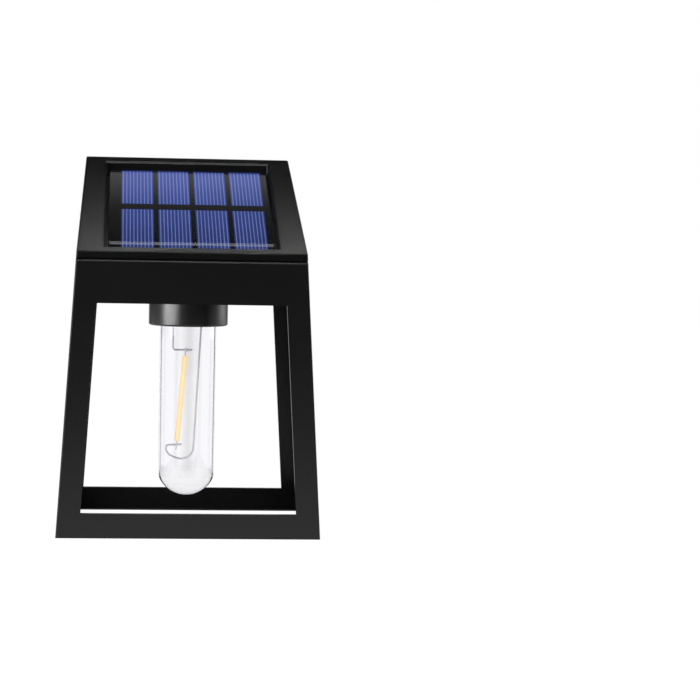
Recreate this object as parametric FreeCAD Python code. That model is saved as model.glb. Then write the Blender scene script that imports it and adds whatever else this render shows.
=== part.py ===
import FreeCAD, Part
import math
import os

# Fence light: an open four-post lantern with a sloped solar lid and a clear filament tube.
# Millimetres. X runs along the wall, +Y points at the wall, +Z is up; the foot rests on Z = 0
# and the origin is the middle of the foot.

# Outline
base_width = 110.0
depth = 95.0
eaves_height = 118.9        # front top edge of the lid
ridge_height = 159.4        # rear top edge of the lid
side_lean = 3.5             # degrees that each side leans inwards
corner_radius = 0.7
wall = 2.4

# Open frame under the housing
post_width = 9.6
foot_rail = 10.3
window_top = 97.5

# Lid and its seam
lid_edge = 2.8              # height of the lid's vertical rim
lid_round = 0.5
seam_gap = 0.8              # filled by the lid gasket, set back from the faces
seam_setback = 1.0
rim_chamfer = 0.45
skirt_wall = 1.2
skirt_drop = 4.0            # how far the lid's skirt reaches into the housing
slip = 0.2                  # clearance of pieces that drop into one another

# Panel recess, measured along the slope
mouth_width = 72.0
mouth_front = 4.4           # lid's front edge to the recess
mouth_rear_margin = 5.9     # recess to the lid's rear edge
mouth_corner = 1.0
mouth_chamfer = 0.7
ramp_run = 6.0              # rain ramp at the low side of the recess
tub_wall = 1.1
tub_floor = 1.6
panel_side_gap = 1.1
panel_sink = 2.8            # lid face down to the cover
cover_thickness = 1.2
cover_bevel_run = 4.0
cover_bevel_drop = 0.7
cell_thickness = 0.3
board_thickness = 1.2
tape_thickness = 0.4
tape_width = 5.0
panel_wire_hole = 5.0

# Solar cells, which fill the panel from its bevel to its rear edge
cell_columns = 4
cell_rows = 2
cell_width = 13.8
cell_gap = 2.1
row_gap = 5.9
cell_front_margin = 0.3
cell_rear_margin = 0.5
cell_side_shift = 1.3

# Tray that closes the housing from below
tray_recess = 0.6           # tray face above the window's top edge
tray_thickness = 2.2
tray_gasket_thickness = 0.8
ledge_width = 2.2
ledge_height = 2.0

# Case screws: up through the tray into the lid's long bosses
boss_radius = 3.2
boss_edge_gap = 11.5        # boss axis to the front or rear face
boss_wire_room = 1.8        # battery holder to boss, where a wire runs
screw_radius = 1.45
screw_pilot = 1.25
screw_length = 9.0
screw_head_radius = 2.8
screw_head = 1.1
screw_slip = 0.05           # shank to pilot hole

# Lamp
tube_radius = 12.2
tube_wall = 1.0
tube_bottom = 12.7
dome_height = 8.8
collar_radius = 17.1
collar_bottom = 86.5
collar_web = 2.2
collar_bevel = 0.5
wire_hole_radius = 8.0
seal_section = 1.4
seal_height = 90.0
stem_length = 6.8
lead_radius = 0.4
lead_hole_slip = 0.05
left_lead_x = -6.4
left_lead_turn = 75.7       # height of the left lead's level arm
left_lead_end = 1.9
left_lead_bend = 1.2
leaf_length = 3.2           # flattened end of the left lead
leaf_height = 1.4
leaf_thickness = 0.5
right_lead_x = 5.8
filament_radius = 1.1
filament_chamfer = 0.5
filament_top = (-1.15, 73.2)
filament_bottom = (-4.15, 36.0)
tab_width = 0.6
tab_thickness = 0.3
tab_length = 3.6
small_screw_radius = 1.1
small_screw_pilot = 0.95
small_head_radius = 2.1
small_head = 1.2
collar_screw_length = 6.5

# Hook of the right lead: the end of the straight, then the ends of its tangent arcs
hook_start = (3.0, 33.3)
hook_arcs = [(-3.3, 28.5), (-7.0, 29.9), (-8.9, 33.2), (-7.8, 34.35), (-2.1, 34.65)]

# Circuit board and switch
board_width = 40.0
board_depth = 25.0
board_rear_gap = 2.6        # board to the rear wall
board_lift = 6.0            # height of the posts that carry it
board_post_radius = 2.6
board_post_x = 16.5
board_post_y = 9.0          # from the board's middle
circuit_thickness = 1.6
board_screw_length = 5.0
switch_body = (13.0, 6.6)
switch_gap = 0.4            # switch body to tray
switch_skin = 0.9
switch_travel = 3.0
knob_size = (3.6, 2.8)
knob_foot = (6.0, 4.2, 1.6)
knob_reach = 2.6            # below the tray's face
knob_slip = 0.3
grip_notches = 3
notch_width = 0.5
notch_depth = 0.5

# Parts on the board, placed from its middle
chip_place = (7.0, 0.0)
chip_size = (5.2, 4.0, 1.6)
chip_lift = 0.6
leg_reach = 1.2
leg_width = 0.5
leg_height = 1.1
leg_pitch = 3.2
coil_place = (-7.0, 1.0)
flange_radius = 4.0
flange_height = 1.0
coil_radius = 3.2
coil_height = 5.2
capacitor_place = (0.4, 4.5)
capacitor_radius = 2.5
capacitor_height = 7.0

# Battery, AA size
battery_radius = 7.25
battery_length = 49.2
can_bevel = 0.5
nub_radius = 2.75
nub_length = 1.3
battery_roof_gap = 1.5      # battery to the underside of the lid's tub
holder_wall = 1.4
holder_floor = 1.2
holder_height = 10.0
holder_slip = 0.3
holder_tape = 1.0
finger_radius = 6.0
finger_depth = 4.0
spring_height = 2.4
contact_thickness = 0.3
contact_size = 8.0

# Hanging keyhole in the rear wall
keyhole_entry = 4.25
keyhole_slot = 2.1
keyhole_rise = 8.0
pocket_width = 14.0
pocket_depth = 6.0
pocket_wall = 1.2
pocket_margin = 6.0
pocket_roof_gap = 1.0       # pocket to the underside of the lid's tub

insulated_wire = 0.6
wire_bend = 3.0
bend_share = 0.45           # most of a straight that one bend may take
pad_reach = 3.0             # how far a wire lies on the board
pad_row = 6.25              # side pads in front of the board's middle
panel_wire_drop = 12.0

# Worked out from the above
slope = math.atan2(ridge_height - eaves_height, depth)
slope_length = math.hypot(ridge_height - eaves_height, depth)
lean = math.tan(math.radians(side_lean))
mouth_rear = slope_length - mouth_rear_margin
tray_bottom = window_top + tray_recess
tray_top = tray_bottom + tray_thickness
collar_seat = tray_bottom - collar_web
board_bottom = tray_top + board_lift
board_top = board_bottom + circuit_thickness
board_y = depth / 2 - wall - board_rear_gap - board_depth / 2
floor_sink = panel_sink + cover_thickness + cell_thickness + board_thickness + tape_thickness
tub_sink = floor_sink + tub_floor
far = 2.0 * max(base_width, depth, ridge_height)
touch = 1e-4                # how near counts as lying on a face


def vec(x, y, z):
    return FreeCAD.Vector(x, y, z)


def half_width(z):
    """Half the width of the lantern's front face at height z."""
    return base_width / 2 - z * lean


def roof(y):
    """Height of the lid's sloped face above a point."""
    return eaves_height + (y + depth / 2) * math.tan(slope)


def plumb(thickness):
    """Height that a layer of this thickness takes on the slope."""
    return thickness / math.cos(slope)


def on_slope(s, sink):
    """(y, z) of a point s up the slope and sink below the lid's face."""
    y = -depth / 2 + s * math.cos(slope) + sink * math.sin(slope)
    z = eaves_height + s * math.sin(slope) - sink * math.cos(slope)
    return y, z


def slope_at(y, sink):
    """How far up the slope a point at y lies, sink below the lid's face."""
    return (y + depth / 2 - sink * math.sin(slope)) / math.cos(slope)


def face(points):
    return Part.Face(Part.makePolygon(points + points[:1]))


def prism_x(yz, x0, x1):
    return face([vec(x0, y, z) for y, z in yz]).extrude(vec(x1 - x0, 0, 0))


def prism_y(xz, y0, y1):
    return face([vec(x, y0, z) for x, z in xz]).extrude(vec(0, y1 - y0, 0))


def box(x0, x1, y0, y1, z0, z1):
    return Part.makeBox(x1 - x0, y1 - y0, z1 - z0, vec(x0, y0, z0))


def upright(radius, x, y, z0, z1):
    return Part.makeCylinder(radius, z1 - z0, vec(x, y, z0))


def fuse(shapes):
    return shapes[0].multiFuse(shapes[1:]).removeSplitter()


def cut(shape, tools):
    return shape.cut(Part.makeCompound(tools))


def revolve(edges):
    """Turn closed edges in the XZ plane about the Z axis."""
    return Part.Face(Part.Wire(edges)).revolve(vec(0, 0, 0), vec(0, 0, 1), 360)


def segment(a, b):
    return Part.LineSegment(vec(a[0], 0, a[1]), vec(b[0], 0, b[1])).toShape()


def ring_profile(points):
    """Solid of revolution from (radius, height) points."""
    return revolve([segment(a, b) for a, b in zip(points, points[1:] + points[:1])])


def trapezoid(inset, z0, z1):
    side = inset / math.cos(math.radians(side_lean))
    low, high = half_width(z0) - side, half_width(z1) - side
    return [(-low, z0), (low, z0), (high, z1), (-high, z1)]


def lantern_block(inset, z0, z1, rounded=0.0):
    """Solid between two levels, inset from the lantern's four leaning faces."""
    block = prism_y(trapezoid(inset, z0, z1), inset - depth / 2, depth / 2 - inset)
    if rounded:
        corners = [e for e in block.Edges if abs(e.Vertexes[0].Z - e.Vertexes[1].Z) > (z1 - z0) / 2]
        block = block.makeFillet(rounded, corners)
    return block


def under_roof(top_sink, bottom_sink=None):
    """Everything below the roof plane lowered by top_sink, down to bottom_sink or the ground."""
    front, rear = -depth, depth
    top = [(rear, roof(rear) - top_sink), (front, roof(front) - top_sink)]
    if bottom_sink is None:
        low = [(front, -far), (rear, -far)]
    else:
        low = [(front, roof(front) - bottom_sink), (rear, roof(rear) - bottom_sink)]
    return prism_x(low + top, -far, far)


def roof_layer(inset, top_sink, bottom_sink, rounded=0.0):
    """Sloped slab of the lantern's plan between two depths under the roof plane."""
    block = lantern_block(inset, window_top, ridge_height + wall, rounded)
    return block.common(under_roof(top_sink, bottom_sink))


# Body

def window_cut(across_sides):
    """Window through both faces of one pair: front and rear, or the two sides."""
    if across_sides:
        y = depth / 2 - post_width
        return box(-far, far, -y, y, foot_rail, window_top)
    return prism_y(trapezoid(post_width * math.cos(math.radians(side_lean)), foot_rail, window_top),
                   -far, far)


def keyhole_height():
    """Height of the round entry: the pocket around it ends just under the lid's tub."""
    y_front = depth / 2 - wall - pocket_depth - pocket_wall
    pocket_top = roof(y_front) - plumb(tub_sink) - pocket_roof_gap
    return pocket_top - pocket_wall - pocket_margin - keyhole_rise


def keyhole_cut():
    y0 = depth / 2 - wall
    low, top = keyhole_height(), keyhole_height() + keyhole_rise
    entry = Part.makeCylinder(keyhole_entry, 2 * wall, vec(0, y0 - wall / 2, low), vec(0, 1, 0))
    slot_end = Part.makeCylinder(keyhole_slot, 2 * wall, vec(0, y0 - wall / 2, top), vec(0, 1, 0))
    slot = box(-keyhole_slot, keyhole_slot, y0 - wall / 2, y0 + 3 * wall / 2, low, top)
    return entry.fuse([slot_end, slot])


def keyhole_pocket():
    """Closed pocket moulded behind the keyhole, so that rain stays out of the housing."""
    z0 = keyhole_height() - pocket_margin
    z1 = keyhole_height() + keyhole_rise + pocket_margin
    y1 = depth / 2 - wall
    half = pocket_width / 2
    shell = box(-half - pocket_wall, half + pocket_wall, y1 - pocket_depth - pocket_wall, y1 + wall / 2,
                z0 - pocket_wall, z1 + pocket_wall)
    return shell, box(-half, half, y1 - pocket_depth, y1, z0, z1)


def body_frame():
    """One moulding: four posts and foot rails, with the housing's walls above the windows."""
    rim_sink = lid_edge + seam_gap
    body = lantern_block(0, 0, ridge_height + wall, corner_radius)
    body = body.common(under_roof(rim_sink))
    hollow = lantern_block(wall, -wall, ridge_height + 2 * wall)
    ledge_z = tray_top + tray_gasket_thickness
    ledge = lantern_block(wall / 2, ledge_z, ledge_z + ledge_height).cut(
        lantern_block(wall + ledge_width, ledge_z - wall, ledge_z + ledge_height + wall))
    pocket, pocket_room = keyhole_pocket()
    body = cut(body, [hollow, window_cut(False), window_cut(True)])
    body = fuse([body, ledge, pocket])
    body = cut(body, [pocket_room, keyhole_cut()])
    return bevel_rim(body, rim_sink)


def bevel_rim(body, rim_sink):
    """Small bevel on the outer edge of the housing's rim, below the seam."""
    keep = []
    for edge in body.Edges:
        middle = edge.valueAt((edge.FirstParameter + edge.LastParameter) / 2)
        on_rim = all(abs(roof(v.Y) - rim_sink - v.Z) < touch for v in edge.Vertexes)
        on_rim = on_rim and abs(roof(middle.y) - rim_sink - middle.z) < touch
        outside = max(abs(middle.y) / (depth / 2), abs(middle.x) / half_width(middle.z))
        if on_rim and outside > 1 - corner_radius / depth:
            keep.append(edge)
    return body.makeChamfer(rim_chamfer, keep)


# Lid

def recess_profile(grow, floor_grow, top_rise):
    """Side view of the panel recess; grow and floor_grow thicken it into the tub's outside."""
    y_front = on_slope(mouth_front, 0)[0] - grow
    y_foot, z_foot = on_slope(mouth_front + ramp_run, panel_sink)
    y_foot -= grow
    y_rear = on_slope(mouth_rear, 0)[0] + grow
    sink = plumb(floor_sink + floor_grow)
    return [(y_front, roof(y_front) + top_rise), (y_front, roof(y_front) - (lid_edge / 2 if grow else 0)),
            (y_foot, z_foot - floor_grow), (y_foot, roof(y_foot) - sink),
            (y_rear, roof(y_rear) - sink), (y_rear, roof(y_rear) + top_rise)]


def lid_bosses():
    """Four long bosses under the tub that reach down to the tray."""
    below_tub = under_roof(plumb(floor_sink + tub_floor / 2))
    posts = []
    for x, y in screw_places():
        posts.append(upright(boss_radius, x, y, tray_top, ridge_height).common(below_tub))
    return posts


def screw_places():
    """The bosses stand beside the battery holder, with room for a wire between."""
    x = holder_half()[0] + holder_wall + boss_wire_room + boss_radius
    y = depth / 2 - boss_edge_gap
    return [(-x, -y), (-x, y), (x, -y), (x, y)]


def on_roof(edge):
    """Whether an edge lies in the lid's sloped face."""
    middle = edge.valueAt((edge.FirstParameter + edge.LastParameter) / 2)
    points = [(v.Y, v.Z) for v in edge.Vertexes] + [(middle.y, middle.z)]
    return all(abs(roof(y) - z) < touch for y, z in points)


def round_recess(recess):
    """Round the recess's rear corners, which the panel's side gap clears."""
    corners = []
    for edge in recess.Edges:
        bounds = edge.BoundBox
        is_plumb = bounds.DiagonalLength - bounds.ZLength < touch
        if is_plumb and bounds.Center.y > depth / 2 - 2 * mouth_rear_margin:
            corners.append(edge)
    return recess.makeFillet(mouth_corner, corners)


def mouth_bevel():
    """Tool that bevels the recess's edge; its front face follows the rain ramp."""
    y_rear = on_slope(mouth_rear, 0)[0]
    wires = []
    for sink in (-mouth_chamfer, mouth_chamfer):
        grow = mouth_chamfer - sink
        half = mouth_width / 2 + grow
        front = on_slope(mouth_front + ramp_run * sink / panel_sink, sink)
        rear = on_slope(slope_at(y_rear, sink) + grow, sink)
        corners = [vec(-half, *front), vec(half, *front), vec(half, *rear), vec(-half, *rear)]
        wires.append(Part.makePolygon(corners + corners[:1]))
    return Part.makeLoft(wires, True, True)


def lid():
    plate = roof_layer(0, 0, lid_edge, corner_radius)
    plate = plate.makeFillet(lid_round, [e for e in plate.Edges if on_roof(e)])
    skirt = roof_layer(wall + slip, lid_edge / 2, lid_edge + skirt_drop).cut(
        roof_layer(wall + slip + skirt_wall, 0, lid_edge + skirt_drop + wall))
    half = mouth_width / 2
    tub = prism_x(recess_profile(tub_wall, tub_floor, -lid_edge / 2), -half - tub_wall, half + tub_wall)
    solid = fuse([plate, skirt, tub] + lid_bosses())
    recess = round_recess(prism_x(recess_profile(0, 0, wall), -half, half))
    pilots = [upright(screw_pilot, x, y, tray_top, tray_top + screw_length) for x, y in screw_places()]
    wire_hole = upright(panel_wire_hole / 2, 0, board_y, roof(board_y) - 2 * plumb(floor_sink), roof(board_y))
    return cut(solid, [recess.fuse(mouth_bevel()), wire_hole] + pilots).removeSplitter()


def lid_gasket():
    ring = roof_layer(seam_setback, lid_edge, lid_edge + seam_gap)
    return ring.cut(roof_layer(wall, 0, lid_edge + seam_gap + wall))


# Solar panel, built on the slope

def slope_box(x0, x1, s0, s1, sink0, sink1):
    corners = [on_slope(s0, sink0), on_slope(s1, sink0), on_slope(s1, sink1), on_slope(s0, sink1)]
    return prism_x(corners, x0, x1)


def panel_span():
    """Front and rear ends of the panel on the slope, clear of the recess's plumb walls."""
    front = mouth_front + ramp_run + slip
    y_rear = on_slope(mouth_rear, 0)[0] - slip
    return front, slope_at(y_rear, floor_sink)


def layer_sinks():
    """Depths of the cover's face and of each layer's underside."""
    sinks = [panel_sink]
    for thickness in (cover_thickness, cell_thickness, board_thickness, tape_thickness):
        sinks.append(sinks[-1] + thickness)
    return sinks


def cell_grid():
    """(x0, x1, s0, s1) of every cell."""
    grid_width = cell_columns * cell_width + (cell_columns - 1) * cell_gap
    front = panel_span()[0] + cover_bevel_run + cell_front_margin
    rear = panel_span()[1] - cell_rear_margin
    cell_length = (rear - front - (cell_rows - 1) * row_gap) / cell_rows
    places = []
    for row in range(cell_rows):
        s1 = rear - row * (cell_length + row_gap)
        for column in range(cell_columns):
            x0 = cell_side_shift - grid_width / 2 + column * (cell_width + cell_gap)
            places.append((x0, x0 + cell_width, s1 - cell_length, s1))
    return places


def solar_cells():
    sinks = layer_sinks()
    return Part.makeCompound([slope_box(*place, sinks[1], sinks[2]) for place in cell_grid()])


def panel_cover():
    """Clear plate over the cells, with a long bevel on its low edge."""
    s0, s1 = panel_span()
    sinks = layer_sinks()
    half = mouth_width / 2 - panel_side_gap
    side = [(s0 + cover_bevel_run, sinks[0]), (s1, sinks[0]), (s1, sinks[1]), (s0, sinks[1]),
            (s0, sinks[0] + cover_bevel_drop)]
    return prism_x([on_slope(*p) for p in side], -half, half)


def panel_board():
    s0, s1 = panel_span()
    sinks = layer_sinks()
    half = mouth_width / 2 - panel_side_gap
    return slope_box(-half, half, s0, s1, sinks[2], sinks[3])


def panel_tape():
    s0, s1 = panel_span()
    sinks = layer_sinks()
    half = mouth_width / 2 - panel_side_gap
    outer = slope_box(-half, half, s0, s1, sinks[3], sinks[4])
    inner = slope_box(tape_width - half, half - tape_width, s0 + tape_width, s1 - tape_width,
                      sinks[2], sinks[4] + wall)
    return outer.cut(inner)


# Tray

def tray():
    plate = lantern_block(wall + slip, tray_bottom, tray_top)
    posts = [upright(board_post_radius, x, y, tray_top, board_bottom) for x, y in board_screw_places()]
    plate = fuse([plate] + posts)
    holes = [upright(wire_hole_radius, 0, 0, tray_bottom - wall, tray_top + wall)]
    for x, y in screw_places():
        holes.append(upright(screw_radius + slip, x, y, tray_bottom - wall, tray_top + wall))
        holes.append(upright(screw_head_radius + slip, x, y, tray_bottom - wall, tray_bottom + screw_head))
    for x, y in board_screw_places():
        holes.append(upright(small_screw_pilot, x, y, board_bottom - board_screw_length, board_bottom))
    for x, y in collar_screw_places():
        holes.append(upright(small_screw_radius + slip, x, y, tray_bottom - wall, tray_top + wall))
    half_x = (knob_size[0] + switch_travel) / 2 + knob_slip
    half_y = knob_size[1] / 2 + knob_slip
    holes.append(box(-half_x, half_x, board_y - half_y, board_y + half_y,
                     tray_bottom - wall, tray_top + wall))
    return cut(plate, holes)


def tray_gasket():
    z0, z1 = tray_top, tray_top + tray_gasket_thickness
    return lantern_block(wall + slip, z0, z1).cut(lantern_block(wall + ledge_width, z0 - wall, z1 + wall))


def screw(radius, length, head_radius, head, x, y, z, up):
    """Screw with its head's bearing face at z and its shank running up or down."""
    way = vec(0, 0, 1 if up else -1)
    shank = Part.makeCylinder(radius, length, vec(x, y, z), way)
    return shank.fuse(Part.makeCylinder(head_radius, head, vec(x, y, z) - way * head, way))


def case_screws():
    reach = tray_thickness - screw_head + screw_length - slip
    seat = tray_bottom + screw_head
    return Part.makeCompound([screw(screw_pilot - screw_slip, reach, screw_head_radius, screw_head,
                                    x, y, seat, True) for x, y in screw_places()])


# Lamp

def domed_bar(radius, dome, z_bottom, z_top):
    """Solid round bar whose lower end is a spherical cap of the given height."""
    cap_radius = (radius ** 2 + dome ** 2) / (2 * dome)
    half_turn = math.asin(radius / cap_radius) / 2
    middle = vec(cap_radius * math.sin(half_turn), 0, z_bottom + cap_radius * (1 - math.cos(half_turn)))
    shoulder = z_bottom + dome
    cap = Part.Arc(vec(0, 0, z_bottom), middle, vec(radius, 0, shoulder)).toShape()
    outline = [cap, segment((radius, shoulder), (radius, z_top)), segment((radius, z_top), (0, z_top)),
               segment((0, z_top), (0, z_bottom))]
    return revolve(outline)


def lamp_tube():
    top = collar_seat - slip
    outer = domed_bar(tube_radius, dome_height, tube_bottom, top)
    inner_dome = dome_height - tube_wall
    inner = domed_bar(tube_radius - tube_wall, inner_dome, tube_bottom + tube_wall, top + wall)
    return outer.cut(inner)


def collar_screw_places():
    spread = (tube_radius + slip + collar_radius) / 2
    return [(-spread, 0), (spread, 0)]


def collar():
    """Glossy cup that holds the tube, with a groove for its seal ring."""
    bore = tube_radius + slip
    groove = bore + seal_section
    z0, z1 = seal_height - seal_section / 2 - slip / 2, seal_height + seal_section / 2 + slip / 2
    ring = ring_profile([(bore, collar_bottom), (collar_radius, collar_bottom),
                         (collar_radius, tray_bottom), (wire_hole_radius, tray_bottom),
                         (wire_hole_radius, collar_seat), (bore, collar_seat), (bore, z1), (groove, z1),
                         (groove, z0), (bore, z0)])
    rim = [e for e in ring.Edges if abs(e.BoundBox.ZMax - collar_bottom) < touch
           and abs(e.BoundBox.XMax - collar_radius) < slip]
    ring = ring.makeChamfer(collar_bevel, rim)
    pilots = [upright(small_screw_pilot, x, y, tray_bottom - collar_screw_length, tray_bottom + wall)
              for x, y in collar_screw_places()]
    return cut(ring, pilots)


def collar_seal():
    z0, z1 = seal_height - seal_section / 2, seal_height + seal_section / 2
    inner, outer = tube_radius + lead_hole_slip, tube_radius + slip + seal_section - lead_hole_slip
    return ring_profile([(inner, z0), (outer, z0), (outer, z1), (inner, z1)])


def collar_screws():
    reach = tray_thickness + collar_screw_length - slip
    return Part.makeCompound([screw(small_screw_pilot - screw_slip, reach, small_head_radius, small_head,
                                    x, y, tray_top, False) for x, y in collar_screw_places()])


def lead_top():
    return collar_seat + collar_web / 2


def right_lead_start():
    """Upper end of the long lead, which leans from the stem's face to its hook."""
    face_z = collar_seat - stem_length
    pitch = (right_lead_x - hook_start[0]) / (face_z - hook_start[1])
    return vec(right_lead_x + pitch * (lead_top() - face_z), 0, lead_top())


def lamp_stem():
    z0 = collar_seat - stem_length
    plug = upright(tube_radius - tube_wall - slip, 0, 0, z0, collar_seat)
    hole = lead_radius + lead_hole_slip
    top, low = right_lead_start(), vec(hook_start[0], 0, hook_start[1])
    leaning = Part.makeCylinder(hole, 2 * stem_length, top, low - top)
    return cut(plug, [upright(hole, left_lead_x, 0, z0 - wall, collar_seat + wall), leaning])


def rounded_path(points, bend):
    """Straight runs joined by tangent arcs."""
    edges = []
    start = points[0]
    for before, corner, after in zip(points, points[1:], points[2:]):
        a, b = (before - corner).normalize(), (after - corner).normalize()
        half = a.getAngle(b) / 2
        room = bend_share * min(before.distanceToPoint(corner), after.distanceToPoint(corner))
        radius = min(bend, room * math.tan(half))
        pull = radius / math.tan(half)
        first, last = corner + a * pull, corner + b * pull
        inward = (a + b).normalize()
        middle = corner + inward * (radius / math.sin(half) - radius)
        edges.append(Part.LineSegment(start, first).toShape())
        edges.append(Part.Arc(first, middle, last).toShape())
        start = last
    edges.append(Part.LineSegment(start, points[-1]).toShape())
    return edges


def wire_along(edges, radius):
    path = Part.Wire(edges)
    first = edges[0]
    ring = Part.makeCircle(radius, first.valueAt(first.FirstParameter), first.tangentAt(first.FirstParameter))
    return path.makePipe(Part.Face(Part.Wire([ring])))


def bent_wire(points, radius, bend):
    return wire_along(rounded_path([vec(*p) for p in points], bend), radius)


def left_lead():
    """Short lead whose level arm ends in a flattened leaf."""
    wire = bent_wire([(left_lead_x, 0, lead_top()), (left_lead_x, 0, left_lead_turn),
                      (left_lead_end, 0, left_lead_turn)], lead_radius, left_lead_bend)
    x0, x1 = left_lead_end - lead_radius - leaf_length, left_lead_end - lead_radius
    y = -leaf_thickness / 2
    ends = vec(x0, y, left_lead_turn), vec(x1, y, left_lead_turn)
    bows = [Part.Arc(ends[0], vec((x0 + x1) / 2, y, left_lead_turn + side * leaf_height / 2), ends[1])
            for side in (1, -1)]
    leaf = Part.Face(Part.Wire([bow.toShape() for bow in bows]))
    return fuse([wire, leaf.extrude(vec(0, leaf_thickness, 0))])


def right_lead():
    """Long lead that passes the filament and hooks back up under its lower end."""
    edges = [Part.LineSegment(right_lead_start(), vec(hook_start[0], 0, hook_start[1])).toShape()]
    for x, z in hook_arcs:
        last = edges[-1]
        edges.append(tangent_arc(last.valueAt(last.LastParameter), last.tangentAt(last.LastParameter),
                                 vec(x, 0, z)))
    return wire_along(edges, lead_radius)


def tangent_arc(start, way, end):
    """Arc in the XZ plane that leaves start along way and ends at end."""
    chord = end - start
    side = vec(-way.z, 0, way.x)
    lift = chord.dot(side)
    radius = chord.dot(chord) / (2 * lift)
    centre = start + side * radius
    a0 = math.atan2(start.z - centre.z, start.x - centre.x)
    a1 = math.atan2(end.z - centre.z, end.x - centre.x)
    turn = (a1 - a0) % (2 * math.pi)
    if radius < 0:
        turn -= 2 * math.pi
    middle = centre + vec(math.cos(a0 + turn / 2), 0, math.sin(a0 + turn / 2)) * abs(radius)
    return Part.Arc(start, middle, end).toShape()


def filament_axis():
    top, bottom = vec(filament_top[0], 0, filament_top[1]), vec(filament_bottom[0], 0, filament_bottom[1])
    return top, bottom


def filament():
    top, bottom = filament_axis()
    rod = Part.makeCylinder(filament_radius, top.distanceToPoint(bottom), bottom, top - bottom)
    rims = [e for e in rod.Edges if e.Curve.TypeId == "Part::GeomCircle"]
    return rod.makeChamfer(filament_chamfer, rims)


def filament_tabs():
    """Flat end pieces, each welded across the front of its lead."""
    top, bottom = filament_axis()
    along = (top - bottom).normalize()
    tilt = math.degrees(math.atan2(along.x, along.z))
    tabs = []
    for base, way in ((top, 1), (bottom, -1)):
        z0 = 0 if way > 0 else -tab_length
        tab = box(-tab_width / 2, tab_width / 2, -lead_radius - tab_thickness, -lead_radius,
                  z0, z0 + tab_length)
        tab.rotate(vec(0, 0, 0), vec(0, 1, 0), tilt)
        tab.translate(base)
        tabs.append(tab)
    return Part.makeCompound(tabs)


def lamp_wires():
    """From the leads' ends up through the tray, then back onto the board's pads."""
    z_run = board_top + insulated_wire + lead_hole_slip
    y_pad = board_y - board_depth / 2 + pad_reach
    z_start = lead_top() + lead_hole_slip
    return Part.makeCompound([bent_wire([(x, 0, z_start), (x, 0, z_run), (x, y_pad, z_run)],
                                        insulated_wire, wire_bend)
                              for x in (left_lead_x, right_lead_start().x)])


# Electronics

def board_screw_places():
    return [(x, board_y + board_post_y) for x in (-board_post_x, board_post_x)]


def circuit_board():
    board = box(-board_width / 2, board_width / 2, board_y - board_depth / 2, board_y + board_depth / 2,
                board_bottom, board_top)
    return cut(board, [upright(small_screw_radius + slip, x, y, board_bottom - wall, board_top + wall)
                       for x, y in board_screw_places()])


def board_screws():
    reach = circuit_thickness + board_screw_length - slip
    return Part.makeCompound([screw(small_screw_pilot - screw_slip, reach, small_head_radius, small_head,
                                    x, y, board_top, False) for x, y in board_screw_places()])


def driver_chip():
    """Four-legged driver in a flat-faced case."""
    x, y = chip_place[0], board_y + chip_place[1]
    long, wide, high = chip_size
    case = box(x - long / 2, x + long / 2, y - wide / 2, y + wide / 2,
               board_top + chip_lift, board_top + chip_lift + high)
    legs = []
    for step in (-leg_pitch / 2, leg_pitch / 2):
        x0 = x + step - leg_width / 2
        for y0 in (y - wide / 2 - leg_reach, y + wide / 2):
            legs.append(box(x0, x0 + leg_width, y0, y0 + leg_reach, board_top, board_top + leg_height))
    return fuse([case] + legs)


def inductor():
    """Drum of wound wire between two flanges."""
    x, y = coil_place[0], board_y + coil_place[1]
    top = board_top + coil_height
    return fuse([upright(flange_radius, x, y, board_top, board_top + flange_height),
                 upright(coil_radius, x, y, board_top + flange_height, top - flange_height),
                 upright(flange_radius, x, y, top - flange_height, top)])


def capacitor():
    x, y = capacitor_place[0], board_y + capacitor_place[1]
    top = board_top + capacitor_height
    can = upright(capacitor_radius, x, y, board_top, top)
    rims = [e for e in can.Edges if abs(e.BoundBox.ZMin - top) < touch]
    return can.makeChamfer(can_bevel, rims)


# Slide switch

def switch_levels():
    return tray_top + switch_gap, board_bottom


def switch_housing():
    """Case under the board; the knob's foot slides in the room inside it."""
    z0, z1 = switch_levels()
    x, y = switch_body[0] / 2, switch_body[1] / 2
    case = box(-x, x, board_y - y, board_y + y, z0, z1)
    room_x = (knob_foot[0] + switch_travel) / 2 + slip
    room_y = knob_foot[1] / 2 + slip
    room = box(-room_x, room_x, board_y - room_y, board_y + room_y, z0 + switch_skin,
               z0 + switch_skin + knob_foot[2] + 2 * slip)
    slot_x = (knob_size[0] + switch_travel) / 2 + slip
    slot_y = knob_size[1] / 2 + slip
    slot = box(-slot_x, slot_x, board_y - slot_y, board_y + slot_y, z0 - wall, z0 + switch_skin + slip)
    return cut(case, [room, slot])


def switch_knob():
    """Slider at the off end of its travel, with grip notches in its face."""
    z0 = switch_levels()[0]
    x0 = -switch_travel / 2
    half_x, half_y = knob_size[0] / 2, knob_size[1] / 2
    foot_x, foot_y = knob_foot[0] / 2, knob_foot[1] / 2
    foot_z = z0 + switch_skin + slip
    face_z = tray_bottom - knob_reach
    stem = box(x0 - half_x, x0 + half_x, board_y - half_y, board_y + half_y, face_z, foot_z)
    foot = box(x0 - foot_x, x0 + foot_x, board_y - foot_y, board_y + foot_y, foot_z, foot_z + knob_foot[2])
    notches = []
    for i in range(grip_notches):
        x = x0 - half_x + (i + 0.5) * knob_size[0] / grip_notches
        notches.append(box(x - notch_width / 2, x + notch_width / 2, board_y - foot_y, board_y + foot_y,
                           face_z - wall, face_z + notch_depth))
    return cut(fuse([stem, foot]), notches)


# Battery

def holder_levels():
    """Underside of the holder, and the battery's axis."""
    z0 = tray_top + holder_tape
    return z0, z0 + holder_floor + battery_radius + slip


def battery_y():
    """Place of the battery's axis: as far forward as the lid's sloping tub leaves room for it."""
    _, z = holder_levels()
    room = plumb(tub_sink + battery_radius + battery_roof_gap)
    return (z + room - eaves_height) / math.tan(slope) - depth / 2


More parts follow.
